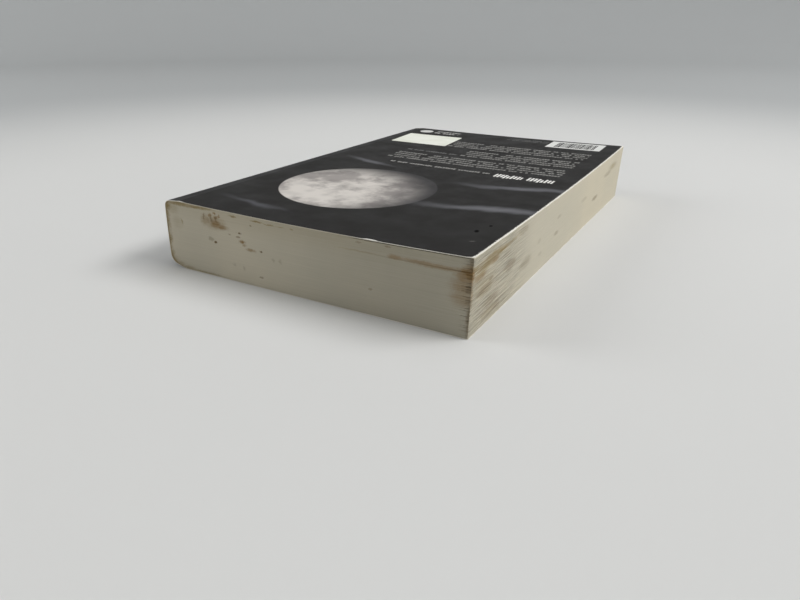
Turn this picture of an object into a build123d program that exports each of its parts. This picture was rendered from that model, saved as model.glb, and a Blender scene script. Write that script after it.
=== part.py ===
from build123d import *
import math
import os

# A perfect-bound paperback book, lying on its front cover with its back cover up.
# The spine is towards -X, the fore edge towards +X, the head towards -Y and the tail towards +Y.
# The origin is the middle of its footprint, at the surface that it lies on.

# Leaves and trimmed size
page_height = 198.0
page_width = 129.0
leaf_count = 256
leaf_thickness = 0.105
leaves_per_section = 16

# Cover card, wrapped round the block in one piece and scored at both folds
card_thickness = 0.28
hinge_width = 7.6
back_corner_radius = 2.5
front_corner_radius = 4.0

# Shape that the spine has taken with use
block_lean = 0.9
spine_bulge = 0.2
back_hinge_drop = 0.6
front_hinge_rise = 2.0

# Hot-melt glue between the leaves and the card
spine_glue = 0.5
side_glue = 0.12
side_glue_stop = 0.5
block_back_radius = 3.2
block_front_radius = 6.0

# Fine grooves where the folded sections of leaves meet on the trimmed edges
section_groove_depth = 0.12
section_groove_width = 0.22
groove_from_spine = 3.5

# The gap where the last leaves have parted from the rest, at the head and fore-edge corner
leaves_above_gap = 46
gap_depth = 0.55
gap_width = 0.34
gap_length_head = 53.0
gap_length_fore = 30.0

# Plain paper label stuck on the back cover
label_width = 32.5
label_height = 26.6
label_thickness = 0.1
label_corner_radius = 0.8
label_from_hinge = 19.2
label_from_tail = 32.5
label_turn = 4.0

block_thickness = leaf_count * leaf_thickness
book_thickness = block_thickness + 2 * card_thickness
section_thickness = leaves_per_section * leaf_thickness
section_count = math.ceil(leaf_count / leaves_per_section)

# Corners of the outer outline in the drawing plane, whose x is +X and whose y is +Z
spine_top = Vector(0, book_thickness - back_hinge_drop)
spine_foot = Vector(-block_lean, front_hinge_rise)
back_fold = Vector(hinge_width, book_thickness)
front_fold = Vector(hinge_width - block_lean, 0)
fore_top = Vector(page_width, book_thickness)
fore_foot = Vector(page_width - block_lean, 0)


def inward_line(start, end, inset):
    """Two points on the line from start to end, moved inset towards the inside of the outline."""
    along = (end - start).normalized()
    inward = Vector(-along.Y, along.X) * inset
    return start + inward, end + inward


def crossing(line_a, line_b):
    """The point where two lines cross."""
    p, r = line_a[0], line_a[1] - line_a[0]
    q, s = line_b[0], line_b[1] - line_b[0]
    share = ((q - p).X * s.Y - (q - p).Y * s.X) / (r.X * s.Y - r.Y * s.X)
    return p + r * share


def outline(face_inset, strip_inset, spine_inset, fore_inset, back_radius, front_radius):
    """A cross-section of the book with each side moved inwards and the two spine corners rounded."""
    top = inward_line(fore_top, back_fold, face_inset)
    back_strip = inward_line(back_fold, spine_top, strip_inset)
    spine = inward_line(spine_top, spine_foot, spine_inset)
    front_strip = inward_line(spine_foot, front_fold, strip_inset)
    bottom = inward_line(front_fold, fore_foot, face_inset)
    fore = inward_line(fore_foot, fore_top, fore_inset)
    corner_top = crossing(back_strip, spine)
    corner_foot = crossing(spine, front_strip)
    bulge_point = (corner_top + corner_foot) * 0.5 - Vector(spine_bulge, 0)
    edges = [
        *Polyline(crossing(fore, top), crossing(top, back_strip), corner_top).edges(),
        ThreePointArc(corner_top, bulge_point, corner_foot),
        *Polyline(corner_foot, crossing(front_strip, bottom), crossing(bottom, fore)).edges(),
        Line(crossing(bottom, fore), crossing(fore, top)),
    ]
    section = make_face(edges)
    near_top = section.vertices().sort_by_distance(corner_top)[0]
    section = fillet(near_top, back_radius)
    near_foot = section.vertices().sort_by_distance(corner_foot)[0]
    return fillet(near_foot, front_radius)


def region(x_low, x_high, z_low, z_high):
    """A plain rectangle of the drawing plane, to cut a section with."""
    corner = Rectangle(x_high - x_low, z_high - z_low, align=(Align.MIN, Align.MIN))
    return Pos(x_low, z_low) * corner


def head_to_tail(section):
    """The section, standing across the book and drawn out from head to tail."""
    return extrude(Plane.XZ * section, amount=page_height / 2, both=True)


# The card's outer and inner outlines, the block's own, and limits beyond the book for the cuts
spare = 5.0
card_outside = outline(0, 0, 0, 0, back_corner_radius, front_corner_radius)
card_inside = outline(
    card_thickness,
    card_thickness,
    card_thickness,
    -spare,
    back_corner_radius - card_thickness,
    front_corner_radius - card_thickness,
)
block_outline = outline(
    card_thickness,
    card_thickness + side_glue,
    card_thickness + spine_glue,
    0,
    block_back_radius,
    block_front_radius,
)
origin_shift = -card_outside.bounding_box().center().X
far_left = card_outside.bounding_box().min.X - spare
far_right = page_width + spare
middle = book_thickness / 2
above = book_thickness + spare


def cover_section(x_low, x_high, z_low, z_high):
    """The part of the card's section that lies in a rectangle."""
    return (card_outside - card_inside) & region(x_low, x_high, z_low, z_high)


def notch(edge, outward, z, depth, width):
    """A V that points into the block at height z, as wide as width where it meets the edge."""
    mouth = edge + outward * depth
    tip = edge - outward * depth
    return make_face(Polyline((tip, z), (mouth, z + width), (mouth, z - width), close=True))


def fore_groove(z, depth, width, y_low, y_high):
    """A V-shaped cutter along the fore edge."""
    edge = page_width - block_lean * (book_thickness - z) / book_thickness
    profile = Plane.XZ * notch(edge, 1, z, depth, width)
    return Pos(0, y_low, 0) * extrude(profile, amount=y_low - y_high)


def end_groove(outward, z, depth, width, x_low):
    """A V-shaped cutter along the head (outward is -1) or the tail (1), from x_low to the fore edge."""
    profile = Plane.YZ * notch(outward * page_height / 2, outward, z, depth, width)
    return Pos(x_low, 0, 0) * extrude(profile, amount=page_width - x_low)


def section_grooves(z):
    """The grooves of one joint between two sections, on the three trimmed edges."""
    size = (z, section_groove_depth, section_groove_width)
    return [
        fore_groove(*size, -page_height / 2, page_height / 2),
        end_groove(-1, *size, groove_from_spine),
        end_groove(1, *size, groove_from_spine),
    ]


def leaf_gap():
    """The gap at the corner of the head and the fore edge."""
    size = (book_thickness - card_thickness - leaves_above_gap * leaf_thickness, gap_depth, gap_width)
    head = -page_height / 2
    return [
        fore_groove(*size, head, head + gap_length_fore),
        end_groove(-1, *size, page_width - gap_length_head),
    ]


def make_text_block():
    """All the leaves as one solid, with a fine groove between sections and the gap at one corner."""
    cutters = leaf_gap()
    for number in range(1, section_count):
        cutters += section_grooves(card_thickness + number * section_thickness)
    return head_to_tail(block_outline) - cutters


def make_spine_glue():
    """The hot melt that fills the space between the leaves and the card, thickest in the two corners."""
    glue = card_inside - block_outline
    back_side = region(far_left, hinge_width - side_glue_stop, middle, above)
    front_side = region(far_left, hinge_width - block_lean - side_glue_stop, -spare, middle)
    return head_to_tail((glue & back_side) + (glue & front_side))


def make_spine_cover():
    """The spine panel of the card with the two narrow strips that are glued beside it."""
    back_part = cover_section(far_left, hinge_width, middle, above)
    front_part = cover_section(far_left, hinge_width - block_lean, -spare, middle)
    return head_to_tail(back_part + front_part)


def make_back_cover():
    """The back panel of the card, from its scored fold to the fore edge."""
    return head_to_tail(cover_section(hinge_width, far_right, middle, above))


def make_front_cover():
    """The front panel of the card, which the book lies on."""
    return head_to_tail(cover_section(hinge_width - block_lean, far_right, -spare, middle))


def make_label():
    """A plain label, stuck a little askew on the back cover near the spine and the tail."""
    plan = RectangleRounded(label_width, label_height, label_corner_radius)
    centre_x = hinge_width + label_from_hinge
    centre_y = page_height / 2 - label_from_tail
    place = Pos(centre_x, centre_y, book_thickness) * Rot(0, 0, label_turn)
    return place * extrude(plan, amount=label_thickness)


def write_parts():
    """Builds every piece, moves it to the book's own frame and writes it to its file."""
    pieces = {
        "text_block": make_text_block(),
        "spine_glue": make_spine_glue(),
        "spine_cover": make_spine_cover(),
        "back_cover": make_back_cover(),
        "front_cover": make_front_cover(),
        "blank_label": make_label(),
    }
    os.makedirs("parts", exist_ok=True)
    for name, piece in pieces.items():
        export_step(Pos(origin_shift, 0, 0) * piece, f"parts/{name}.step")
    return pieces


write_parts()
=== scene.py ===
import math
import random

import bmesh
import bpy
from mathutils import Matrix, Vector, noise


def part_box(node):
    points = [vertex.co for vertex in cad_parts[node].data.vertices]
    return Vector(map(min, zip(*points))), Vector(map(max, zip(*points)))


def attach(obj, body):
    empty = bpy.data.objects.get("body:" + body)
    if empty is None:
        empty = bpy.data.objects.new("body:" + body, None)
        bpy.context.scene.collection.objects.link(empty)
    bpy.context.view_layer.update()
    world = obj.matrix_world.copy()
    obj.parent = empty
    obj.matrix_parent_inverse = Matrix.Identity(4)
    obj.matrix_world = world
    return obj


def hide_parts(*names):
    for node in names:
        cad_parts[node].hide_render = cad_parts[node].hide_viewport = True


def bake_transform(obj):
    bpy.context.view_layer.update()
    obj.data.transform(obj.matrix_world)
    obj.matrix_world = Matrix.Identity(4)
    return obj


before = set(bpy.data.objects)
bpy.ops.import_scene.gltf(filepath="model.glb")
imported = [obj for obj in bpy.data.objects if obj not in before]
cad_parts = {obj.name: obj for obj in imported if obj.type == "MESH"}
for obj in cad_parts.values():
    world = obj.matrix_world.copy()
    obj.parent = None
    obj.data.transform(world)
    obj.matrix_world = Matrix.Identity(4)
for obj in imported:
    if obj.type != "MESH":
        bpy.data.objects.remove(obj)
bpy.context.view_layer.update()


# ---------------------------------------------------------------------------------------------
# The leaves: 256 sheets of bulky book paper, folded in sections of 16, milled at the spine and
# trimmed together with the cover on the other three sides. The trimmed edges have yellowed, and
# near the corner of the head and the fore edge the last leaves have parted from the rest.
mm = 0.001
page_width, page_height = 129, 198
leaf_count = 256
leaves_per_section = 16
leaves_above_gap = 46
rows = 2 * leaf_count     # each leaf has a groove and a ridge
gap_row = rows - 2 * leaves_above_gap
touching = 0.1 * mm     # as near as this to an edge counts as on it

block_low, block_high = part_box("text_block")
head_y, tail_y = block_low.y, block_high.y
fold_x, fore_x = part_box("back_cover")[0].x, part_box("back_cover")[1].x
book_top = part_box("back_cover")[1].z
block_lean = 0.9 * mm
# The dip of the back cover and the last leaves: in its middle, along three edges and at one corner
middle_dip, head_edge_dip, tail_edge_dip = 1.2 * mm, 0.75 * mm, 0.45 * mm
fore_edge_dip, head_corner_drop = 1.35 * mm, 0.4 * mm


def cover_dip(x, y):
    """How far the back cover has sunk at a place. Its fold and its tail corner stay up."""
    share = min(max((x - fold_x) / (fore_x - fold_x), 0), 1)
    bow = 4 * share * (1 - share)
    at_end = head_edge_dip * bow + head_corner_drop * share if y < 0 else tail_edge_dip * bow
    in_middle = middle_dip * bow + fore_edge_dip * share * (2 * share - 1)
    return in_middle + (at_end - in_middle) * (y / tail_y) ** 2


def stops(*runs):
    """Places along an edge, as shares of it: each run goes on to a new place in equal steps."""
    places = [0.0]
    for end, steps in runs:
        start = places[-1]
        places += [start + (end - start) * (n + 1) / steps for n in range(steps)]
    return [place / places[-1] for place in places]


def fine_end(length):
    """The last runs of an edge of a length in millimetres, in short steps towards its corner."""
    return (length - 2, 1), (length - 0.8, 1), (length - 0.3, 1), (length, 1)


# The edges are cut finest at their corners, which show the most wear
fine_start = ((0.3, 1), (0.8, 1), (2, 1), (4, 1))
head_stops = stops(*fine_start, (124, 30), (125.5, 1), *fine_end(page_width))
fore_stops = stops(*fine_start, (40, 12), (194, 24), *fine_end(page_height))
# Once round the block: along the head, up the fore edge, back along the tail and down the spine
plan = [(s, 0) for s in head_stops] + [(1, s) for s in fore_stops[1:]]
plan += [(s, 1) for s in head_stops[-2::-1]] + [(0, s) for s in fore_stops[-2::-1]]

draw = random.Random(11)
leaf_set_back = [draw.uniform(0, 0.02) * mm for _ in range(leaf_count + 1)]
corner_wear = [draw.random() for _ in range(leaf_count + 1)]
# Thumbing has opened about one joint between leaves in five
loose_joints = {leaf: draw.uniform(0.2, 0.55) * mm
                for leaf in range(3, leaf_count - 3) if draw.random() < 0.21}
# Small tears in the leaves at the worn corner: their heights above the front cover
tear_rows = [round((z * mm - block_low.z) / (block_high.z - block_low.z) * rows)
             for z in (10.4, 12.1, 13.2, 15.7, 17.4, 18.9, 20.3)]

# How deep the knife, use and wear have gone into the trimmed edges, and how far the gap reaches
leaf_wave, leaf_groove, section_groove = 0.02 * mm, 0.015 * mm, 0.02 * mm
gap_depth, gap_opening, under_card_depth = 0.6 * mm, 0.1 * mm, 0.7 * mm
tear_depth, corner_round = 0.4 * mm, 0.12 * mm
first_leaf_round, last_leaf_round = 0.12 * mm, 0.1 * mm
gap_on_head, gap_on_fore, gap_widest, gap_trace = 53 * mm, 32 * mm, 6 * mm, 0.25
# How far wear reaches from the corner of the head and the fore edge, and how it frays the leaves
thumbed_on_head, thumbed_on_fore = 2.5 * mm, 42 * mm
torn_on_head, torn_on_fore = 1.8 * mm, 0.9 * mm
fray_reach, round_reach = 0.7 * mm, 0.5 * mm
most_frayed_leaves, most_frayed, least_frayed = range(86, 224), 0.5 * mm, 0.15 * mm
# The knife left the head smoother than the other edges
head_share = 0.4
# The leaves wave a little up and down, and the last one lies a hair under the card
leaf_swell, under_card = 0.07 * mm, 0.02 * mm


def spine_side(row):
    """Where the milled spine side of the leaves stands at a row, read off the solid's surface."""
    inside = 0.02 * mm
    z = block_low.z + row / rows * (block_high.z - block_low.z)
    z = min(max(z, block_low.z + inside), block_high.z - inside)
    outside = Vector((block_low.x - 5 * mm, 0, z))
    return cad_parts["text_block"].ray_cast(outside, Vector((1, 0, 0)))[1].x


left_edge = [spine_side(row) for row in range(rows + 1)]


def fore_side(row):
    """Where the trimmed fore edge stands at a row."""
    return block_high.x - block_lean * (1 - row / rows)


def fade(distance, reach, power=1):
    """1 at no distance, and softly less beyond it. A power of 2 keeps it full for longer."""
    return math.exp(-((distance / reach) ** power))


def close_to(distance, width):
    """1 at no distance, falling evenly to 0 at the width."""
    return max(0.0, 1 - abs(distance) / width)


def gap_share(x, y, fore):
    """How far the last leaves have parted from the rest: 1 at the corner, then only a trace."""
    reach = (fore - x) / gap_on_head if y < head_y + touching else (y - head_y) / gap_on_fore
    at_corner = fade(math.hypot(fore - x, y - head_y), gap_widest, power=2)
    return max(at_corner, gap_trace * min(1.0, 1.8 * max(0.0, 1 - reach)))


def uneven(x, y, leaf, length, step):
    """A slow waviness of a length along a leaf's edge, that changes by a step with each leaf."""
    return noise.noise(Vector((x / length, y / length, leaf * step)))


def set_back(row, x, y, fore):
    """How far behind the trimmed face a leaf's edge stands. Widths are in rows, two to a leaf."""
    leaf = min(row // 2, leaf_count - 1)
    from_corner = math.hypot(fore - x, y - head_y)
    on_head = y < head_y + touching
    depth = leaf_set_back[leaf] + leaf_wave * (1 + uneven(x, y, leaf, length=25 * mm, step=0.37))
    depth += leaf_groove * (row % 2 == 0) + section_groove * (row % (2 * leaves_per_section) == 0)
    if on_head:
        depth *= head_share
    thumbed = fade(from_corner, thumbed_on_head if on_head else thumbed_on_fore, power=2)
    open_here = min(max(0.35 + 1.7 * uneven(x, y, leaf, length=11 * mm, step=0.83), 0), 1)
    depth += loose_joints.get(row // 2, 0) * thumbed * open_here
    depth += gap_depth * close_to(row - gap_row, 6) * gap_share(x, y, fore)
    # Along the head the card stands a little off the leaves, from its nick to the corner
    off_card = min(max((x / mm - 20) / 8, 0), 1) if on_head else 0.0
    depth += under_card_depth * off_card * close_to(rows - 3 - row, 3.2)
    depth += first_leaf_round * close_to(row, 4) + last_leaf_round * close_to(rows - row, 4)
    # At the corner itself the leaves are rounded off, frayed most in the middle, and torn in places
    frayed = most_frayed if leaf in most_frayed_leaves else least_frayed
    depth += frayed * corner_wear[leaf] ** 2 * fade(from_corner, fray_reach)
    torn = close_to(min(abs(row - tear) for tear in tear_rows), 2)
    reach = torn_on_head if on_head else torn_on_fore
    depth += tear_depth * torn * fade(from_corner, reach, power=2)
    return depth + corner_round * fade(from_corner, round_reach)


def leaf_place(row, a, b, on_edge=True):
    """A point of the block at a row; a and b are its shares across the page and from the head."""
    up = row / rows
    fore = fore_side(row)
    x = left_edge[row] + a * (fore - left_edge[row])
    y = head_y + b * (tail_y - head_y)
    z = block_low.z + up * (block_high.z - under_card - block_low.z) - cover_dip(x, y) * up ** 4
    if 0 < row < rows and on_edge:
        depth = set_back(row, x, y, fore)
        z += leaf_swell * math.sin(math.pi * up) * uneven(x, y, up, length=30 * mm, step=9)
        from_gap = row - gap_row
        parted = gap_opening * gap_share(x, y, fore) * fade(abs(from_gap), 10)
        z += math.copysign(parted, from_gap) if from_gap else 0
        x -= depth * (a == 1)
        y += depth * ((b == 0) - (b == 1))
    return Vector((x, y, z))


def shape_leaves():
    """The trimmed edges, as one strip wrapped round the block, closed by a page at each end."""
    bm = bmesh.new()
    leaf_number = bm.verts.layers.float.new("leaf_number")
    columns = len(plan) - 1
    fore_vertices = set()
    for vertex in bmesh.ops.create_grid(bm, x_segments=columns, y_segments=rows, size=0.5)["verts"]:
        column, row = round((vertex.co.x + 0.5) * columns), round((vertex.co.y + 0.5) * rows)
        vertex.co = leaf_place(row, *plan[column])
        vertex[leaf_number] = row / 2
        if plan[column][0] == 1:
            fore_vertices.add(vertex)
    edge_faces = set(bm.faces)
    for face in edge_faces:
        face.material_index = 1 if fore_vertices.issuperset(face.verts) else 0
    across, along = len(head_stops) - 1, len(fore_stops) - 1
    for row in (0, rows):
        page = bmesh.ops.create_grid(bm, x_segments=across, y_segments=along, size=0.5)
        for vertex in page["verts"]:
            a = head_stops[round((vertex.co.x + 0.5) * across)]
            b = fore_stops[round((vertex.co.y + 0.5) * along)]
            vertex.co = leaf_place(row, a, b, on_edge=False)
            vertex[leaf_number] = row / 2
    for face in bm.faces:
        face.smooth = face not in edge_faces
        face.material_index = 2 if face.smooth else face.material_index
    bmesh.ops.remove_doubles(bm, verts=bm.verts, dist=0.001 * mm)
    bmesh.ops.recalc_face_normals(bm, faces=bm.faces)
    for edge in bm.edges:
        edge.smooth = all(face.smooth for face in edge.link_faces)
    return bm


def add_piece(name, bm, *finishes):
    """Makes a finished mesh a piece of the book, with its finishes in its material slots."""
    mesh = bpy.data.meshes.new(name)
    bm.to_mesh(mesh)
    bm.free()
    for finish in finishes:
        mesh.materials.append(finish)
    piece = bpy.data.objects.new(name, mesh)
    bpy.context.scene.collection.objects.link(piece)
    return piece


def from_hex(code):
    """An sRGB hex colour, as the linear values that a shader takes."""
    parts = [int(code[i:i + 2], 16) / 255 for i in (1, 3, 5)]
    return (*[p / 12.92 if p <= 0.04045 else ((p + 0.055) / 1.055) ** 2.4 for p in parts], 1.0)


def add_node(material, kind, inputs, **settings):
    """Adds a shader node with its settings, and gives its inputs their values or links."""
    made = material.node_tree.nodes.new("ShaderNode" + kind)
    for name, value in settings.items():
        setattr(made, name, value)
    for socket, value in inputs.items():
        if isinstance(value, bpy.types.NodeSocket):
            material.node_tree.links.new(value, made.inputs[socket])
        else:
            made.inputs[socket].default_value = value
    return made.outputs


def new_finish(name, roughness, specular):
    """A new material with its roughness and specular level set, and its shader node."""
    material = bpy.data.materials.new(name)
    material.use_nodes = True
    shader = material.node_tree.nodes["Principled BSDF"]
    shader.inputs["Roughness"].default_value = roughness
    shader.inputs["Specular IOR Level"].default_value = specular
    return material, shader


def millimetres(material):
    """A point's own place on the book, in millimetres."""
    metres = add_node(material, "TexCoord", {})["Object"]
    return add_node(material, "VectorMath", {0: metres, "Scale": 1 / mm}, operation="SCALE")[0]


def clouded(material, place, pale, dark, size, detail):
    """Two colours that drift into each other, in patches of a size in millimetres."""
    patches = {"Vector": place, "Scale": 1 / size, "Detail": detail}
    drift = add_node(material, "TexNoise", patches)[0]
    drift = add_node(material, "MapRange", {0: drift, 1: 0.35, 2: 0.65})[0]
    both = {0: drift, 6: from_hex(pale), 7: from_hex(dark)}
    return add_node(material, "Mix", both, data_type="RGBA")[2]


def finished(material, shader, tone, place, grain, detail, strength, depth):
    """Gives the shader its colour and a fine relief, whose grain and depth are in millimetres."""
    grains = {"Vector": place, "Scale": 1 / grain, "Detail": detail}
    relief = add_node(material, "TexNoise", grains)[0]
    raised = {"Height": relief, "Strength": strength, "Distance": depth * mm}
    bump = add_node(material, "Bump", raised)[0]
    material.node_tree.links.new(tone, shader.inputs["Base Color"])
    material.node_tree.links.new(bump, shader.inputs["Normal"])
    return material


def spot(material, place, centre, reach, turn=0.0, core=0.25, strength=1.0):
    """A soft oval patch, full in its core and 0 at its reach, placed and sized in millimetres."""
    oval = add_node(material, "Mapping", {0: place, 1: centre, 2: (0, 0, turn), 3: reach},
                    vector_type="TEXTURE")
    away = add_node(material, "VectorMath", {0: oval[0]}, operation="LENGTH")
    return add_node(material, "MapRange", {0: away["Value"], 1: 1.0, 2: core, 4: strength},
                    interpolation_type="SMOOTHSTEP")[0]


def swayed(material, point, place, size, reach):
    """The point, moved by up to half the reach each way, in swirls of a size in millimetres."""
    swirls = {"Vector": place, "Scale": 1 / size, "Detail": 3.0}
    sway = add_node(material, "TexNoise", swirls)[1]
    sway = add_node(material, "VectorMath", {0: sway, 1: (-0.5, -0.5, -0.5)}, operation="ADD")[0]
    sway = add_node(material, "VectorMath", {0: sway, 1: reach}, operation="MULTIPLY")[0]
    return add_node(material, "VectorMath", {0: point, 1: sway}, operation="ADD")[0]


# Marks on the trimmed edges, by their colour: the place along the edge, the height, half the width
# and half the height of each, in millimetres, and its strength
olive, rust, grey = "#92815B", "#8B7048", "#6E5C40"
head_marks = {
    olive: [
        (-29.4, 25.4, 3.4, 0.62, 1.0), (-18.2, 25.1, 5.2, 0.55, 1.0), (-12.5, 24.9, 5.0, 0.42, 0.8),
        (-7.4, 24.8, 3.6, 0.4, 0.6), (-2.6, 24.8, 2.2, 0.5, 0.7), (24.0, 21.9, 16.0, 0.8, 0.3),
        (-56.0, 26.5, 12.0, 1.5, 1.0), (-46.5, 26.4, 13.0, 1.1, 1.0), (-64.4, 20.5, 3.1, 8.0, 0.95),
        (-64.7, 12.5, 2.6, 10.0, 0.9), (-63.3, 25.0, 4.2, 3.6, 1.0), (-60.5, 24.4, 6.0, 3.6, 0.35),
        (-58.4, 19.0, 4.0, 4.0, 0.25), (-56.2, 19.6, 0.9, 2.0, 0.6), (-64.6, 5.2, 2.9, 4.2, 0.65),
        (-62.8, 3.0, 3.6, 2.8, 0.45), (-60.0, 1.5, 4.4, 2.2, 0.5), (-55.5, 0.6, 6.0, 1.8, 0.55),
        # The broad band along the whole top of the head, last in this list, is partly soil and
        # partly painted shade under the card
        (-46.0, 0.3, 15.0, 1.1, 0.65), (0.0, 26.5, 95.0, 9.5, 0.2),
    ],
    rust: [
        (-39.0, 21.6, 7.6, 3.8, 0.5), (-38.2, 21.3, 5.6, 3.0, 0.85), (-35.4, 20.4, 5.0, 1.5, 0.8),
        (-43.2, 22.0, 3.6, 3.2, 0.5), (-38.4, 25.3, 0.8, 0.8, 0.9), (-36.2, 24.3, 0.8, 1.1, 0.8),
        (-40.8, 24.3, 1.5, 1.2, 0.75), (-37.6, 23.7, 1.5, 1.1, 0.8), (-25.9, 16.3, 2.3, 1.1, 0.85),
        (-24.8, 15.2, 1.5, 0.8, 0.55), (-22.0, 13.9, 3.3, 0.9, 0.75), (62.0, 20.4, 4.6, 3.4, 0.8),
        (38.2, 22.3, 3.8, 1.1, 0.6), (52.0, 22.15, 20.0, 1.15, 0.6), (62.6, 22.3, 5.0, 1.5, 0.9),
        (65.4, 21.2, 7.0, 4.6, 1.0), (62.4, 17.2, 7.4, 5.0, 0.56), (62.2, 13.6, 7.0, 4.6, 0.48),
    ],
    grey: [
        (-39.3, 14.1, 1.1, 0.9, 1.0), (-17.0, 14.1, 1.2, 0.55, 0.9), (-27.2, 19.5, 1.3, 0.45, 0.95),
        (-27.5, 18.0, 1.2, 0.55, 0.5), (-18.2, 4.1, 0.8, 0.5, 0.5), (28.8, 9.6, 1.2, 0.7, 0.4),
        (-41.5, 15.0, 1.6, 1.2, 0.35), (-32.0, 18.4, 1.0, 0.4, 0.45), (-21.0, 23.3, 0.7, 0.5, 0.5),
        (-11.9, 11.8, 1.0, 1.1, 0.22), (-8.5, 12.0, 1.2, 1.2, 0.22), (-31.0, 6.8, 1.3, 0.9, 0.2),
        (-26.5, 6.0, 0.9, 1.2, 0.25), (35.5, 25.3, 1.4, 0.45, 0.4), (24.7, 25.0, 1.1, 0.45, 0.4),
        # The first grey mark below, low on the head's corner edge, is painted shadow
        (65.4, 5.4, 3.4, 9.0, 0.7), (65.4, 25.0, 3.0, 3.0, 0.5), (-40.2, 23.0, 0.8, 1.8, 0.5),
        (-43.8, 23.4, 0.8, 1.8, 0.5), (-41.9, 22.2, 0.7, 1.6, 0.2), (-37.8, 22.9, 0.7, 1.7, 0.5),
    ],
}
fore_marks = {
    olive: [
        (-83.0, 23.3, 18.0, 1.3, 0.75), (-86.0, 22.1, 17.0, 1.4, 0.85),
        (-89.5, 21.0, 13.0, 1.4, 0.8), (-92.0, 19.9, 9.0, 1.2, 0.7), (-76.0, 22.5, 12.0, 1.3, 0.9),
        (-67.0, 22.9, 9.0, 0.9, 0.5), (-97.0, 22.6, 6.0, 1.9, 0.7), (79.0, 20.6, 12.0, 2.6, 0.5),
        (-83.0, 3.6, 11.0, 2.5, 0.25), (-90.0, 14.6, 13.0, 5.0, 0.33),
    ],
    rust: [
        (-81.0, 20.8, 4.4, 1.4, 0.55), (-93.0, 18.8, 7.5, 1.7, 0.5), (-98.6, 20.5, 1.8, 4.5, 0.7),
        (-98.8, 14.5, 1.4, 6.0, 0.4),
    ],
    grey: [
        (-56.5, 23.5, 6.8, 1.9, 0.3), (-67.0, 14.2, 7.8, 2.6, 0.36), (-88.0, 13.0, 8.5, 2.6, 0.28),
        (-84.0, 15.3, 2.4, 0.9, 0.4), (-50.2, 9.6, 8.6, 3.0, 0.28), (-82.0, 7.4, 8.4, 2.7, 0.34),
        (-83.0, 3.6, 10.0, 2.6, 0.2), (-76.0, 3.0, 3.4, 2.2, 0.25), (-71.0, 19.5, 5.0, 1.8, 0.16),
        (-12.0, 17.0, 3.4, 1.0, 0.24), (-13.5, 10.3, 4.4, 1.3, 0.36), (-36.0, 13.5, 2.8, 1.4, 0.16),
        (-33.0, 7.5, 2.8, 1.2, 0.16), (27.0, 15.0, 7.0, 1.3, 0.16), (48.0, 10.8, 6.4, 1.6, 0.45),
        (69.0, 18.4, 10.0, 1.5, 0.3),
    ],
}
# Olive marks are soft all over, rust ones less so, and grey ones have the firmest outline
mark_cores = {olive: 0.1, rust: 0.2, grey: 0.4}
head_face_y, fore_face_x, mark_depth = -99.0, 64.6, 3.0


def marks_together(material, place, axis, colour, marks):
    """All the marks of one colour on the head (axis 0) or the fore edge (axis 1), as one mask."""
    mask = None
    for along, height, wide, high, strength in marks:
        centre = (along, head_face_y, height) if axis == 0 else (fore_face_x, along, height)
        reach = (wide, mark_depth, high) if axis == 0 else (mark_depth, wide, high)
        patch = spot(material, place, centre, reach, core=mark_cores[colour], strength=strength)
        mask = patch if mask is None else add_node(material, "Math", {0: mask, 1: patch},
                                                   operation="MAXIMUM")[0]
    return mask


# The relief of book paper: fine fibres, about 0.35 mm long
paper_fibres = {"grain": 0.35, "detail": 3.0, "strength": 0.25, "depth": 0.03}


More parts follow.
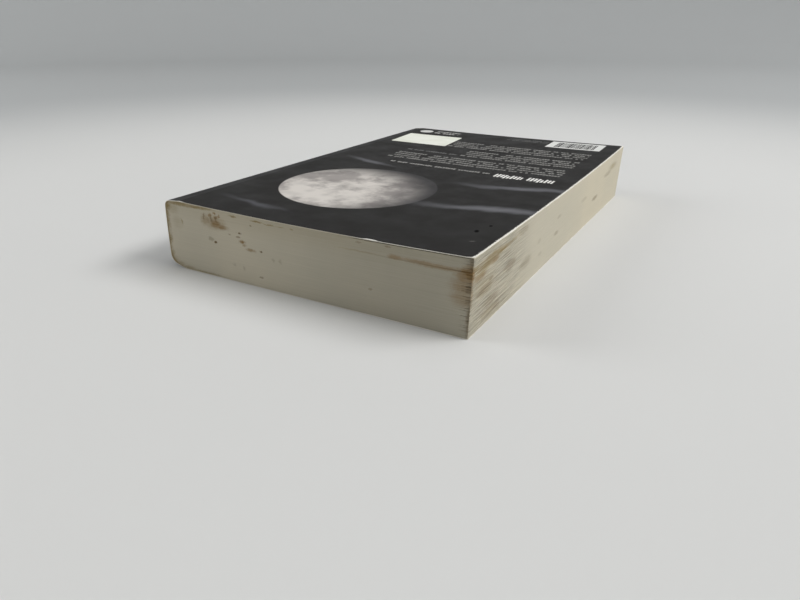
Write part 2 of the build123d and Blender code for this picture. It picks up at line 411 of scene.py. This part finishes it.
def make_paper(name, pale, dark, axis, clean_at, soil_and_shade_at, soil_and_shade_to, lines_to, streak, marks):
    """Yellowed book paper, guillotined: matt, each leaf a little lighter or darker, with foxing."""
    material, shader = new_finish(name, roughness=0.9, specular=0.12)
    leaf = add_node(material, "Attribute", {}, attribute_name="leaf_number")["Fac"]
    place = millimetres(material)
    tone = clouded(material, place, pale, dark, size=45, detail=3.0)

    # One leaf is 0.105 mm, too fine to show alone, so groups of two or three leaves differ as well
    whole_leaf = add_node(material, "Math", {0: leaf}, operation="FLOOR")[0]
    own = add_node(material, "TexWhiteNoise", {"W": whole_leaf}, noise_dimensions="1D")[0]
    parts = add_node(material, "SeparateXYZ", {0: place})
    along = add_node(material, "Math", {0: parts[0], 1: parts[1]}, operation="ADD")[0]
    along = add_node(material, "Math", {0: along, 1: 1 / streak}, operation="MULTIPLY")[0]
    group = add_node(material, "Math", {0: leaf, 1: 1 / 2.3}, operation="MULTIPLY")[0]
    line = add_node(material, "CombineXYZ", {0: along, 1: group})[0]
    lines = add_node(material, "TexNoise",
                     {"Vector": line, "Scale": 1.0, "Detail": 2.0, "Roughness": 0.6})[0]

    # The lines are faint, but towards one end the leaves have been thumbed apart and are darker
    towards_end = {0: parts[axis], 1: clean_at, 2: soil_and_shade_at}
    thumbed = add_node(material, "MapRange", towards_end, interpolation_type="SMOOTHSTEP")[0]
    depth = add_node(material, "MapRange", {0: thumbed, 3: 0.02, 4: lines_to})[0]
    own = add_node(material, "MapRange", {0: own, 3: 0.97, 4: 1.02})[0]
    lines = add_node(material, "MapRange", {0: lines, 1: 0.32, 2: 0.68, 3: -1.0, 4: 0.7})[0]
    shade = add_node(material, "Math", {0: lines, 1: depth, 2: own}, operation="MULTIPLY_ADD")[0]
    # The darkening is soil, and on the head it is partly painted shade
    soil_and_shade = add_node(material, "MapRange", {0: thumbed, 3: 1.0, 4: soil_and_shade_to})[0]
    shade = add_node(material, "Math", {0: shade, 1: soil_and_shade}, operation="MULTIPLY")[0]
    tone = add_node(material, "VectorMath", {0: tone, "Scale": shade}, operation="SCALE")[0]

    # Foxing, dirt and some painted shade: the patches have ragged outlines and are streaked along
    # the leaves
    ragged = place
    for size, reach in ((3.2, 1.6), (0.9, 1.0)):
        ragged = swayed(material, ragged, place, size, (2 * reach, 2 * reach, 0.6 * reach))
    streaks = add_node(material, "MapRange", {0: lines, 1: -1.0, 2: 0.7, 3: 1.2, 4: 0.75})[0]
    for colour in marks:
        mask = marks_together(material, ragged, axis, colour, marks[colour])
        mask = add_node(material, "Math", {0: mask, 1: streaks}, operation="MULTIPLY",
                        use_clamp=True)[0]
        stained = {0: mask, 6: tone, 7: from_hex(colour)}
        tone = add_node(material, "Mix", stained, data_type="RGBA")[2]
    return finished(material, shader, tone, place, **paper_fibres)


def make_page():
    """A blank page of the same paper: matt cream, yellowed in from its trimmed edges."""
    material, shader = new_finish("blank book page", roughness=0.9, specular=0.12)
    place = millimetres(material)
    clouds = add_node(material, "TexNoise", {"Vector": place, "Scale": 1 / 14, "Detail": 4.0})[0]
    parts = add_node(material, "SeparateXYZ", {0: place})
    # It starts to yellow 11 mm from an edge
    from_middle = add_node(material, "Math", {0: parts[1]}, operation="ABSOLUTE")[0]
    at_ends = add_node(material, "MapRange", {0: from_middle, 1: 88.0, 2: 99.0},
                       interpolation_type="SMOOTHSTEP")[0]
    at_fore = add_node(material, "MapRange", {0: parts[0], 1: 53.0, 2: 64.5},
                       interpolation_type="SMOOTHSTEP")[0]
    aged = add_node(material, "Math", {0: at_ends, 1: at_fore}, operation="MAXIMUM")[0]
    aged = add_node(material, "Math", {0: aged, 1: clouds}, operation="MULTIPLY")[0]
    cream = {0: clouds, 6: from_hex("#DFD8C7"), 7: from_hex("#D9D1BD")}
    tone = add_node(material, "Mix", cream, data_type="RGBA")[2]
    yellowed = {0: aged, 6: tone, 7: from_hex("#C2B08C")}
    tone = add_node(material, "Mix", yellowed, data_type="RGBA")[2]
    return finished(material, shader, tone, place, **paper_fibres)


# The head's paper is a little darker than the fore edge's: painted shade
head_paper = make_paper("yellowed book paper", "#C8C0AD", "#BEB8A7", axis=0, clean_at=-24,
                        soil_and_shade_at=50, soil_and_shade_to=0.8, lines_to=0.05, streak=28, marks=head_marks)
fore_paper = make_paper("thumbed fore edge of book paper", "#CDC5B1", "#C4BEAD", axis=1,
                        clean_at=-38, soil_and_shade_at=-76, soil_and_shade_to=0.84, lines_to=0.46, streak=16,
                        marks=fore_marks)
leaves = add_piece("leaves", shape_leaves(), head_paper, fore_paper, make_page())
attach(leaves, "block")
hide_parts("text_block")


# ---------------------------------------------------------------------------------------------
# The glue: hot melt, run hot on to the milled spine so that the card clings to it. It has aged to
# a yellow brown, fills the two rounded corners and shows as a rim at the head and the tail.
def make_glue():
    """Aged hot melt: a waxy, cloudy yellow brown with darker runs, and lumps of about 0.8 mm."""
    material, shader = new_finish("aged hot melt", roughness=0.5, specular=0.4)
    place = millimetres(material)
    tone = clouded(material, place, "#9A8862", "#7E6D49", size=2.5, detail=4.0)
    return finished(material, shader, tone, place, grain=0.8, detail=2.0, strength=0.5, depth=0.1)


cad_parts["spine_glue"].material_slots[0].material = make_glue()


# ---------------------------------------------------------------------------------------------
# The spine of the cover: the middle of one sheet of 0.28 mm card, printed black, laminated and
# wrapped round the glued block. Its two narrow strips are glued down beside the spine as far as
# the scores. Use has rounded its corners, unequally, and rubbed the print at both its ends.
card_thickness, cut_edge_round, strip_width = 0.28 * mm, 0.06 * mm, 7.6 * mm
back_corner_radius, front_corner_radius = 2.5 * mm, 4.0 * mm
back_corner_drop, front_corner_rise, spine_bulge = 0.6 * mm, 2.0 * mm, 0.2 * mm
# Angles between two faces, in radians: a hard edge, and a trimmed one
hard_edge, trimmed_edge = 0.9, 1.0
card_stops = stops(*fine_start, (194, 52), *fine_end(page_height))


def thicken(bm, at_fold):
    """Gives the card its thickness and softens its trimmed edges, but not those at a fold."""
    outside = bm.faces[:]
    bmesh.ops.solidify(bm, geom=outside, thickness=card_thickness)
    bm.normal_update()
    outside = set(outside)
    for face in bm.faces:
        face.material_index = 0 if face in outside else 1
        face.smooth = True
    rims = [edge for edge in bm.edges
            if edge.calc_face_angle(0) > trimmed_edge
            and not at_fold((edge.verts[0].co + edge.verts[1].co) / 2)]
    bmesh.ops.bevel(bm, geom=rims, offset=cut_edge_round, offset_type="OFFSET", segments=2,
                    profile=0.5, affect="EDGES", material=-1)
    for edge in bm.edges:
        edge.smooth = edge.calc_face_angle(0) < hard_edge


def keep_place(bm, rubbed):
    """Stores each point's own place and its rubbing, so that the print bends with the card."""
    own_place = bm.verts.layers.float_vector.new("card_place")
    rub = bm.verts.layers.float.new("rubbed")
    for vertex in bm.verts:
        vertex[own_place] = vertex.co / mm
        vertex[rub] = rubbed(vertex.co)


def rounded_corner(bm, vertex, corner, toward, radius, steps):
    """Goes on with the outline from a vertex round a corner, and returns the last vertex."""
    before, after = (corner - vertex.co).normalized(), (toward - corner).normalized()
    turn = before.angle(after)
    start = corner - before * radius * math.tan(turn / 2)
    inward = Vector((-before.z, 0, before.x))
    inward *= math.copysign(1, inward.dot(after))
    edge_end = bmesh.ops.extrude_vert_indiv(bm, verts=[vertex])["verts"][0]
    edge_end.co = start
    axis = before.cross(after).normalized()
    spun = bmesh.ops.spin(bm, geom=[edge_end], cent=start + inward * radius, axis=axis, angle=turn,
                          steps=steps, use_merge=False)
    return [item for item in spun["geom_last"] if isinstance(item, bmesh.types.BMVert)][0]


front_low, front_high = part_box("front_cover")
back_fold, front_fold = Vector((fold_x, head_y, book_top)), Vector((front_low.x, head_y, 0))
spine_top = back_fold - Vector((strip_width, 0, back_corner_drop))
spine_foot = front_fold - Vector((strip_width, 0, -front_corner_rise))


def shape_spine():
    """The outline of the card's spine and strips, drawn round its corners and out to the tail."""
    bm = bmesh.new()
    last = bmesh.ops.create_vert(bm, co=back_fold)["vert"][0]
    last = rounded_corner(bm, last, spine_top, spine_foot, back_corner_radius, 6)
    for share in (0.2, 0.4, 0.6, 0.8):
        last = bmesh.ops.extrude_vert_indiv(bm, verts=[last])["verts"][0]
        bulge = spine_bulge * 4 * share * (1 - share)
        last.co = spine_top.lerp(spine_foot, share) - Vector((bulge, 0, 0))
    last = rounded_corner(bm, last, spine_foot, front_fold, front_corner_radius, 8)
    last = bmesh.ops.extrude_vert_indiv(bm, verts=[last])["verts"][0]
    last.co = front_fold
    outline = bm.edges[:]
    for start, end in zip(card_stops, card_stops[1:]):
        drawn = bmesh.ops.extrude_edge_only(bm, edges=outline)["geom"]
        step = Vector((0, (end - start) * (tail_y - head_y), 0))
        moved = [item for item in drawn if isinstance(item, bmesh.types.BMVert)]
        bmesh.ops.translate(bm, verts=moved, vec=step)
        outline = [item for item in drawn if isinstance(item, bmesh.types.BMEdge)]
    bmesh.ops.recalc_face_normals(bm, faces=bm.faces)
    middle = Vector((0, 0, book_top / 2))
    if sum(face.normal.dot(face.calc_center_median() - middle) for face in bm.faces) < 0:
        bmesh.ops.reverse_faces(bm, faces=bm.faces)
    thicken(bm, at_fold=lambda place: abs(place.y) < tail_y - touching)
    keep_place(bm, rubbed=spine_rub)
    return bm


def spine_rub(place):
    """Rubbing at the ends of the spine and along its two rounded corners."""
    from_end = tail_y - abs(place.y)
    on_corner = min(math.hypot(place.x - corner.x, place.z - corner.z)
                    for corner in (spine_top, spine_foot))
    return 0.9 * fade(from_end, 0.35 * mm) + 0.3 * fade(on_corner, 1.5 * mm)


def make_card_ink(name):
    """Black print under a matt laminate: a soft satin, and white where the card's core shows."""
    material, shader = new_finish(name, roughness=0.42, specular=0.1)
    place = add_node(material, "Attribute", {}, attribute_name="card_place")["Vector"]
    rub = add_node(material, "Attribute", {}, attribute_name="rubbed")["Fac"]
    # Chipping along the rims, in specks of about 0.5 mm
    specks = add_node(material, "TexNoise", {"Vector": place, "Scale": 1 / 0.5, "Detail": 3.0})[0]
    worn = add_node(material, "Math", {0: rub, 1: specks}, operation="ADD")[0]
    worn = add_node(material, "MapRange", {0: worn, 1: 1.0, 2: 1.15})[0]
    # Handling has left the laminate a little uneven, in areas of about 12 mm
    handling = add_node(material, "TexNoise", {"Vector": place, "Scale": 1 / 12, "Detail": 5.0})[0]
    gloss = add_node(material, "MapRange", {0: handling, 1: 0.3, 2: 0.7, 3: 0.38, 4: 0.5})[0]
    material.node_tree.links.new(gloss, shader.inputs["Roughness"])
    black = {0: handling, 6: from_hex("#211F1E"), 7: from_hex("#252322")}
    ink = add_node(material, "Mix", black, data_type="RGBA")[2]
    return material, shader, place, worn, ink


def finish_card(material, shader, place, worn, ink):
    """Lays the worn places over the print, and a slight ripple of 1.5 mm in the laminate."""
    tone = add_node(material, "Mix", {0: worn, 6: ink, 7: from_hex("#F0EDE4")}, data_type="RGBA")[2]
    return finished(material, shader, tone, place, grain=1.5, detail=2.0, strength=0.12, depth=0.05)


def make_raw_card():
    """The card's own stuff: an off-white pulp board, matt, and a little soiled where it is cut."""
    material, shader = new_finish("uncoated side and cut edge of card", roughness=0.85,
                                  specular=0.2)
    place = add_node(material, "Attribute", {}, attribute_name="card_place")["Vector"]
    rub = add_node(material, "Attribute", {}, attribute_name="rubbed")["Fac"]
    blotches = {"Vector": place, "Scale": 1 / 6, "Detail": 5.0, "Roughness": 0.65}
    soil = add_node(material, "TexNoise", blotches)[0]
    soil = add_node(material, "MapRange", {0: soil, 1: 0.4, 2: 0.7})[0]
    near_edge = add_node(material, "MapRange", {0: rub, 1: 0.2, 2: 1.0, 3: 0.08})[0]
    soil = add_node(material, "Math", {0: soil, 1: near_edge}, operation="MULTIPLY")[0]
    # The edge at the head is soiled all along, but much less from the nick to the corner
    parts = add_node(material, "SeparateXYZ", {0: place})
    at_head = add_node(material, "MapRange", {0: parts[1], 1: -98.7, 2: -98.9, 3: 0.0, 4: 0.8})[0]
    cleaner = add_node(material, "MapRange", {0: parts[0], 1: 18.0, 2: 30.0, 3: 1.0, 4: 0.25})[0]
    at_head = add_node(material, "Math", {0: at_head, 1: cleaner}, operation="MULTIPLY")[0]
    soil = add_node(material, "Math", {0: soil, 1: at_head}, operation="MAXIMUM")[0]
    board = {0: soil, 6: from_hex("#F4F1E8"), 7: from_hex("#CFC7B4")}
    tone = add_node(material, "Mix", board, data_type="RGBA")[2]
    return finished(material, shader, tone, place, grain=0.3, detail=3.0, strength=0.2, depth=0.03)


plain_black = finish_card(*make_card_ink("black print under matt laminate"))
raw_card = make_raw_card()
spine_card = add_piece("spine_card", shape_spine(), plain_black, raw_card)
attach(spine_card, "block")
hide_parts("spine_cover")


# ---------------------------------------------------------------------------------------------
# The front panel of the cover, which the book lies on: the same card, plain black outside. It is
# scored beside the spine, and its first one and a half millimetres there are cut into fine steps.
bend = 1.6 * mm
panel_stops = stops((bend / mm, 8), (3, 1), (5, 1), (117.4, 38), *fine_end(121.4))
corner_in_plan = 0.9 * mm


def blunt(from_fore, from_end, radius):
    """How far a point near a panel's free corner is moved in, to round the corner off in plan."""
    if from_fore >= radius or from_end >= radius:
        return 0.0, 0.0
    away = Vector((radius - from_fore, radius - from_end))
    if away.length <= radius:
        return 0.0, 0.0
    kept = away * radius / away.length
    return away.x - kept.x, away.y - kept.y


def panel_rub(from_fore, from_end):
    """Rubbing along a panel's three trimmed edges, most along the fore edge and at both corners."""
    from_fore, from_end = max(from_fore, 0), max(from_end, 0)
    return (1.25 * fade(from_fore, 0.7 * mm) + 0.5 * fade(from_end, 0.2 * mm)
            + 0.5 * fade(math.hypot(from_fore, from_end), 1.2 * mm))


def shape_panel(start_x, end_x, height_at, face_down=False):
    """One panel of card from its fold to the fore edge, following the height that it is given."""
    bm = bmesh.new()
    across, along = len(panel_stops) - 1, len(card_stops) - 1
    for vertex in bmesh.ops.create_grid(bm, x_segments=across, y_segments=along, size=0.5)["verts"]:
        a = panel_stops[round((vertex.co.x + 0.5) * across)]
        b = card_stops[round((vertex.co.y + 0.5) * along)]
        x, y = start_x + a * (end_x - start_x), head_y + b * (tail_y - head_y)
        in_x, in_y = blunt(end_x - x, tail_y - abs(y), corner_in_plan)
        vertex.co = Vector((x - in_x, y - math.copysign(in_y, y), height_at(x, y)))
    if face_down:
        bmesh.ops.reverse_faces(bm, faces=bm.faces)
    thicken(bm, at_fold=lambda place: (place.x < start_x + touching
                                       and abs(place.y) < tail_y - touching))
    keep_place(bm, rubbed=lambda place: panel_rub(end_x - place.x, tail_y - abs(place.y)))
    return bm


front_shape = shape_panel(front_low.x, front_high.x, lambda x, y: 0.0, face_down=True)
front_card = add_piece("front_card", front_shape, plain_black, raw_card)
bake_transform(front_card)
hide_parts("front_cover")


# ---------------------------------------------------------------------------------------------
# The back panel of the cover, uppermost: it has sunk a little between its corners. It is printed
# on black with a pale moon and streaks of cloud, rows of small words and two heavy ones that are
# all drawn as bars, a white panel of bars, and a pale roundel. Its edges are rubbed white.
deep = 1000     # A flat mark goes through the whole card, so its depth in millimetres is no limit
top_mark = 27   # The height of a mark that has to stay on the upper face


def field(material, place, low, high):
    """A rectangle of print, 1 inside it and 0 outside, with a faintly soft edge."""
    soft = 0.12
    centre = ((low[0] + high[0]) / 2, (low[1] + high[1]) / 2, 0)
    half = ((high[0] - low[0]) / 2, (high[1] - low[1]) / 2, deep)
    away = add_node(material, "VectorMath", {0: place, 1: centre}, operation="SUBTRACT")[0]
    away = add_node(material, "VectorMath", {0: away}, operation="ABSOLUTE")[0]
    away = add_node(material, "VectorMath", {0: away, 1: half}, operation="SUBTRACT")[0]
    sides = add_node(material, "SeparateXYZ", {0: away})
    outside = add_node(material, "Math", {0: sides[0], 1: sides[1]}, operation="MAXIMUM")[0]
    return add_node(material, "MapRange", {0: outside, 1: soft, 2: -soft})[0]


def words(material, place, low, high, pitch, letter, stroke, spaces):
    """Rows of made-up words: upright bars of uneven height, each a letter wide, and spaces."""
    start, size = (low[0], low[1], 0), (letter, pitch, deep)
    from_start = add_node(material, "VectorMath", {0: place, 1: start}, operation="SUBTRACT")[0]
    in_cells = add_node(material, "VectorMath", {0: from_start, 1: size}, operation="DIVIDE")[0]
    cell = add_node(material, "VectorMath", {0: in_cells}, operation="FLOOR")[0]
    within = add_node(material, "VectorMath", {0: in_cells, 1: cell}, operation="SUBTRACT")[0]
    within = add_node(material, "SeparateXYZ", {0: within})
    chance = add_node(material, "TexWhiteNoise", {"Vector": cell}, noise_dimensions="2D")
    inked = add_node(material, "Math", {0: chance[0], 1: spaces}, operation="GREATER_THAN")[0]
    shift = add_node(material, "SeparateXYZ", {0: chance[1]})
    reach = add_node(material, "MapRange", {0: shift[1], 3: 0.17, 4: 0.3})[0]
    centre = add_node(material, "MapRange", {0: shift[2], 3: 0.44, 4: 0.56})[0]
    off = add_node(material, "Math", {0: within[1], 1: centre}, operation="SUBTRACT")[0]
    off = add_node(material, "Math", {0: off}, operation="ABSOLUTE")[0]
    tall = add_node(material, "Math", {0: off, 1: reach}, operation="LESS_THAN")[0]
    side = add_node(material, "Math", {0: within[0], 1: stroke}, operation="LESS_THAN")[0]
    for limit in (tall, side, field(material, place, low, high)):
        inked = add_node(material, "Math", {0: inked, 1: limit}, operation="MULTIPLY")[0]
    return inked


def add_moon(material, place, ink):
    """A full moon seen through haze: a pale disc with softly darker seas, dimmer to one side."""
    x, y, radius = -12.0, -43.0, 33.0
    disc = spot(material, place, (x, y, 0), (radius, radius, deep), core=0.985)
    mottle = {"Vector": place, "Scale": 1 / 19, "Detail": 5.0, "Roughness": 0.6}
    seas = add_node(material, "TexNoise", mottle)[0]
    seas = add_node(material, "MapRange", {0: seas, 1: 0.44, 2: 0.62},
                    interpolation_type="SMOOTHSTEP")[0]
    grey = {0: seas, 6: from_hex("#D9D3CC"), 7: from_hex("#A09A96")}
    ground = add_node(material, "Mix", grey, data_type="RGBA")[2]
    craters = {"Vector": place, "Scale": 1 / 5.5}
    pits = add_node(material, "TexVoronoi", craters, feature="SMOOTH_F1")[0]
    pits = add_node(material, "MapRange", {0: pits, 1: 0.1, 2: 0.5, 3: 0.86, 4: 1.03})[0]
    ground = add_node(material, "VectorMath", {0: ground, "Scale": pits}, operation="SCALE")[0]
    lit_radius = radius * 1.32
    lit = spot(material, place, (x - 9, y - 8, 0), (lit_radius, lit_radius, deep), core=0.45)
    dimmed = {0: lit, 6: from_hex("#3C3A3B"), 7: ground}
    ground = add_node(material, "Mix", dimmed, data_type="RGBA")[2]
    return add_node(material, "Mix", {0: disc, 6: ink, 7: ground}, data_type="RGBA")[2]


# Streaks of cloud: middle x and y, half length, half thickness, turn and colour
cloud_streaks = (
    (50, -47, 42, 5.5, 0.17, "#6C6C70"), (50, -12, 40, 5.0, 0.14, "#68686C"),
    (-34, 1, 21, 4.0, -0.2, "#626266"), (-32, -86, 23, 3.6, -0.12, "#505054"),
)
# Rows of words: two corners of a rectangle, its setting and its colour. A setting is the pitch of
# the rows, the width of a letter, the share of it that is inked, and the share of spaces.
small_words = (3.9, 1.35, 0.82, 0.17)
heavy_word = (11.2, 1.55, 0.66, 0.0)
rows_of_words = (
    ((-19.5, 55.4), (55.4, 71), small_words, "#8B8A86"),
    ((-3, 35.6), (55.2, 51.2), small_words, "#8B8A86"),
    ((-34, 15.6), (55, 31.2), small_words, "#8B8A86"),
    ((-33.5, 35.6), (-5, 39.5), small_words, "#6C6C6A"),
    ((-26.5, 5.7), (25.5, 9.6), small_words, "#9A9995"),
    ((2, 88), (26, 94.4), (3.2, 1.1, 0.82, 0.2), "#626260"),
    ((-43.4, 85.8), (-28, 94.6), (4.4, 1.9, 0.82, 0.12), "#BDBCB8"),
    ((28.5, 0.2), (41.6, 11.4), heavy_word, "#F2F1EC"),
    ((43.9, 0.2), (55.6, 11.4), heavy_word, "#F2F1EC"),
)


def make_printed_card():
    """The printed back cover: plain fields and soft shapes, all placed in millimetres."""
    material, shader, place, worn, ink = make_card_ink("printed card under matt laminate")
    tone = add_moon(material, place, ink)
    # The outlines of the clouds wander by a few millimetres
    wind = swayed(material, place, place, size=26, reach=(14, 14, 0))
    layers = [(spot(material, wind, (x, y, 0), (long, thick, deep), turn, core=0.0), colour)
              for x, y, long, thick, turn, colour in cloud_streaks]
    layers += [(words(material, place, low, high, *setting), colour)
               for low, high, setting, colour in rows_of_words]
    layers.append((spot(material, place, (-49.6, 89.8, 0), (4.1, 4.1, deep), core=0.95), "#D8D8D4"))
    # The white panel: upright bars of uneven width, one in every 0.9 mm
    layers.append((field(material, place, (27.3, 80.4), (56.5, 96.6)), "#E9E9E5"))
    parts = add_node(material, "SeparateXYZ", {0: place})
    steps = add_node(material, "Math", {0: parts[0], 1: 1 / 0.9}, operation="MULTIPLY")[0]
    step = add_node(material, "Math", {0: steps}, operation="FLOOR")[0]
    wide = add_node(material, "TexWhiteNoise", {"W": step}, noise_dimensions="1D")[0]
    wide = add_node(material, "MapRange", {0: wide, 3: 0.35, 4: 0.95})[0]
    across = add_node(material, "Math", {0: steps, 1: step}, operation="SUBTRACT")[0]
    bars = add_node(material, "Math", {0: across, 1: wide}, operation="LESS_THAN")[0]
    barred = field(material, place, (31.2, 82.2), (52.8, 94.6))
    bars = add_node(material, "Math", {0: bars, 1: barred}, operation="MULTIPLY")[0]
    layers.append((bars, "#2A2A2A"))
    # A dent, drawn as near-black painted shade on a matter laminate, and a small spot beside it
    dent_shade_and_spot = spot(material, place, (54.7, -74.0, top_mark), (1.1, 2.0, 5), turn=0.3, core=0.2)
    small_spot = spot(material, place, (56.5, -66.2, top_mark), (0.8, 1.1, 5))
    dent_shade_and_spot = add_node(material, "Math", {0: dent_shade_and_spot, 1: small_spot}, operation="MAXIMUM")[0]
    layers.append((dent_shade_and_spot, "#020202"))
    for share, colour in layers:
        inked = {0: share, 6: tone, 7: from_hex(colour)}
        tone = add_node(material, "Mix", inked, data_type="RGBA")[2]
    gloss = shader.inputs["Roughness"].links[0].from_socket
    matt = add_node(material, "Math", {0: dent_shade_and_spot, 1: 0.6, 2: gloss}, operation="MULTIPLY_ADD")[0]
    material.node_tree.links.new(matt, shader.inputs["Roughness"])
    # A nick in the head edge that shows the core, a rubbed rim near the spine and a pale scratch
    nick = spot(material, place, (29, -99, top_mark), (3.4, 0.75, 5), core=0.6)
    pale_rim = spot(material, place, (-57, -99, top_mark), (4.5, 0.7, 5), core=0.3)
    scratch = spot(material, place, (57.8, -84.6, top_mark), (1.5, 0.3, 5), turn=0.52, core=0.2,
                   strength=0.3)
    for bare in (nick, pale_rim, scratch):
        worn = add_node(material, "Math", {0: worn, 1: bare}, operation="MAXIMUM")[0]
    return finish_card(material, shader, place, worn, tone)


back_shape = shape_panel(fold_x, fore_x, lambda x, y: book_top - cover_dip(x, y))
back_card = add_piece("back_card", back_shape, make_printed_card(), raw_card)
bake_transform(back_card)
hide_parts("back_cover")


# ---------------------------------------------------------------------------------------------
# The label: plain uncoated paper with a peel-off adhesive, stuck by hand on the back cover near
# the spine and the tail, a little askew. It is blank.
label_width, label_height, label_corner = 32.5 * mm, 26.6 * mm, 0.8 * mm
label_turn = math.radians(4)
# Its upper face stands 0.1 mm above the card, and its lower one a hair
label_top, label_thickness = 0.1 * mm, 0.09 * mm
label_low, label_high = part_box("blank_label")


def shape_label():
    """A sheet with rounded corners, cut into small squares so that it lies in the cover's dip."""
    bm = bmesh.new()
    made = bmesh.ops.create_grid(bm, x_segments=1, y_segments=1, size=0.5)["verts"]
    bmesh.ops.scale(bm, verts=made, vec=(label_width, label_height, 1))
    bmesh.ops.bevel(bm, geom=made, offset=label_corner, offset_type="OFFSET", segments=4,
                    profile=0.5, affect="VERTICES", material=-1)
    across, along = Vector((1, 0, 0)), Vector((0, 1, 0))
    for axis, length, pieces in ((across, label_width, 12), (along, label_height, 9)):
        for cut in range(1, pieces):
            everything = bm.verts[:] + bm.edges[:] + bm.faces[:]
            bmesh.ops.bisect_plane(bm, geom=everything, dist=0.001 * mm, plane_no=axis,
                                   plane_co=axis * length * (cut / pieces - 0.5))
    middle = (label_low + label_high) / 2
    for vertex in bm.verts:
        x = middle.x + vertex.co.x * math.cos(label_turn) - vertex.co.y * math.sin(label_turn)
        y = middle.y + vertex.co.x * math.sin(label_turn) + vertex.co.y * math.cos(label_turn)
        vertex.co = Vector((x, y, book_top - cover_dip(x, y) + label_top))
    bmesh.ops.recalc_face_normals(bm, faces=bm.faces)
    if bm.faces[:][0].normal.z < 0:
        bmesh.ops.reverse_faces(bm, faces=bm.faces)
    bmesh.ops.solidify(bm, geom=bm.faces[:], thickness=label_thickness)
    for face in bm.faces:
        face.smooth = True
    for edge in bm.edges:
        edge.smooth = edge.calc_face_angle(0) < hard_edge
    return bm


def make_label_paper():
    """Plain label paper: matt off-white, with faint fibres and a slight greenish cast of age."""
    material, shader = new_finish("plain label paper", roughness=0.75, specular=0.25)
    place = millimetres(material)
    tone = clouded(material, place, "#F2F3E9", "#E8EADC", size=15, detail=4.0)
    return finished(material, shader, tone, place, grain=0.4, detail=3.0, strength=0.2, depth=0.03)


paper_label = add_piece("paper_label", shape_label(), make_label_paper())
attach(paper_label, "back_panel")
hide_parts("blank_label")


# ---------------------------------------------------------------------------------------------
# The studio: a pale seamless floor that turns up into a wall all round, a large soft lamp above
# the fore edge, an even pale sky, and a camera where the photograph was taken from.
def shape_room():
    """A round floor with a coved wall, spun from its outline. The book stands a hair above it."""
    bm = bmesh.new()
    flat_part, floor_radius, cove, wall, floor_z = 0.3, 1.3, 0.45, 0.7, -0.03 * mm
    last = bmesh.ops.create_vert(bm, co=(0, 0, floor_z))["vert"][0]
    for reach in (flat_part, floor_radius):
        last = bmesh.ops.extrude_vert_indiv(bm, verts=[last])["verts"][0]
        last.co = Vector((reach, 0, floor_z))
    spun = bmesh.ops.spin(bm, geom=[last], cent=(floor_radius, 0, cove), axis=(0, -1, 0),
                          angle=math.radians(90), steps=16, use_merge=False)
    last = [item for item in spun["geom_last"] if isinstance(item, bmesh.types.BMVert)][0]
    bmesh.ops.extrude_vert_indiv(bm, verts=[last])["verts"][0].co += Vector((0, 0, wall))
    bmesh.ops.spin(bm, geom=bm.verts[:] + bm.edges[:], cent=(0, 0, 0), axis=(0, 0, 1),
                   angle=math.radians(360), steps=64, use_merge=True)
    bmesh.ops.remove_doubles(bm, verts=bm.verts, dist=0.01 * mm)
    bmesh.ops.recalc_face_normals(bm, faces=bm.faces)
    for face in bm.faces:
        face.smooth = True
    return bm


def make_backdrop():
    """Matt backdrop paper, pale under the book, with painted shade that darkens it towards the
    wall.
    """
    material, shader = new_finish("backdrop paper", roughness=0.95, specular=0.1)
    metres = add_node(material, "TexCoord", {})["Object"]
    reach = add_node(material, "VectorMath", {0: metres}, operation="LENGTH")["Value"]
    # Painted shade: darker with distance from the book, standing in for the fall-off of the light
    far = add_node(material, "MapRange", {0: reach, 1: 0.22, 2: 0.7},
                   interpolation_type="SMOOTHSTEP")[0]
    mottle = add_node(material, "TexNoise", {"Vector": metres, "Scale": 1 / 0.25, "Detail": 2.0})[0]
    pale = {0: mottle, 6: from_hex("#DEDEDC"), 7: from_hex("#DADAD8")}
    tone = add_node(material, "Mix", pale, data_type="RGBA")[2]
    tone = add_node(material, "Mix", {0: far, 6: tone, 7: from_hex("#B4B6B6")}, data_type="RGBA")[2]
    material.node_tree.links.new(tone, shader.inputs["Base Color"])
    return material


room = add_piece("room", shape_room(), make_backdrop())


def add_lamp(name, place, width, power):
    """A square soft lamp, pointed at the book."""
    lamp = bpy.data.lights.new(name, "AREA")
    lamp.size, lamp.energy = width, power
    stand = bpy.data.objects.new(name, lamp)
    stand.location = place
    stand.rotation_euler = (-Vector(place)).to_track_quat("-Z", "Y").to_euler()
    bpy.context.scene.collection.objects.link(stand)


add_lamp("window", (1.9, 0.7, 1.15), 1.7, 96.0)
add_lamp("ceiling", (0.4, 0.6, 2.3), 2.0, 17.0)
add_lamp("far window", (-1.4, -0.5, 0.9), 0.8, 7.0)

sky = bpy.data.worlds.new("pale sky")
sky.use_nodes = True
sky.node_tree.nodes["Background"].inputs["Color"].default_value = from_hex("#EEF0F2")
sky.node_tree.nodes["Background"].inputs["Strength"].default_value = 0.12
bpy.context.scene.world = sky

camera = bpy.data.objects.new("camera", bpy.data.cameras.new("camera"))
camera.data.sensor_width, camera.data.lens = 36, 28.36
camera.data.clip_start, camera.data.clip_end = 0.01, 20
camera.location = (0.13163, -0.25839, 0.09054)
looking = Vector((-0.4548, 0.7912, -0.4090))
camera.rotation_euler = looking.to_track_quat("-Z", "Y").to_euler()
bpy.context.scene.collection.objects.link(camera)
bpy.context.scene.camera = camera
bpy.context.scene.view_settings.view_transform = "Standard"
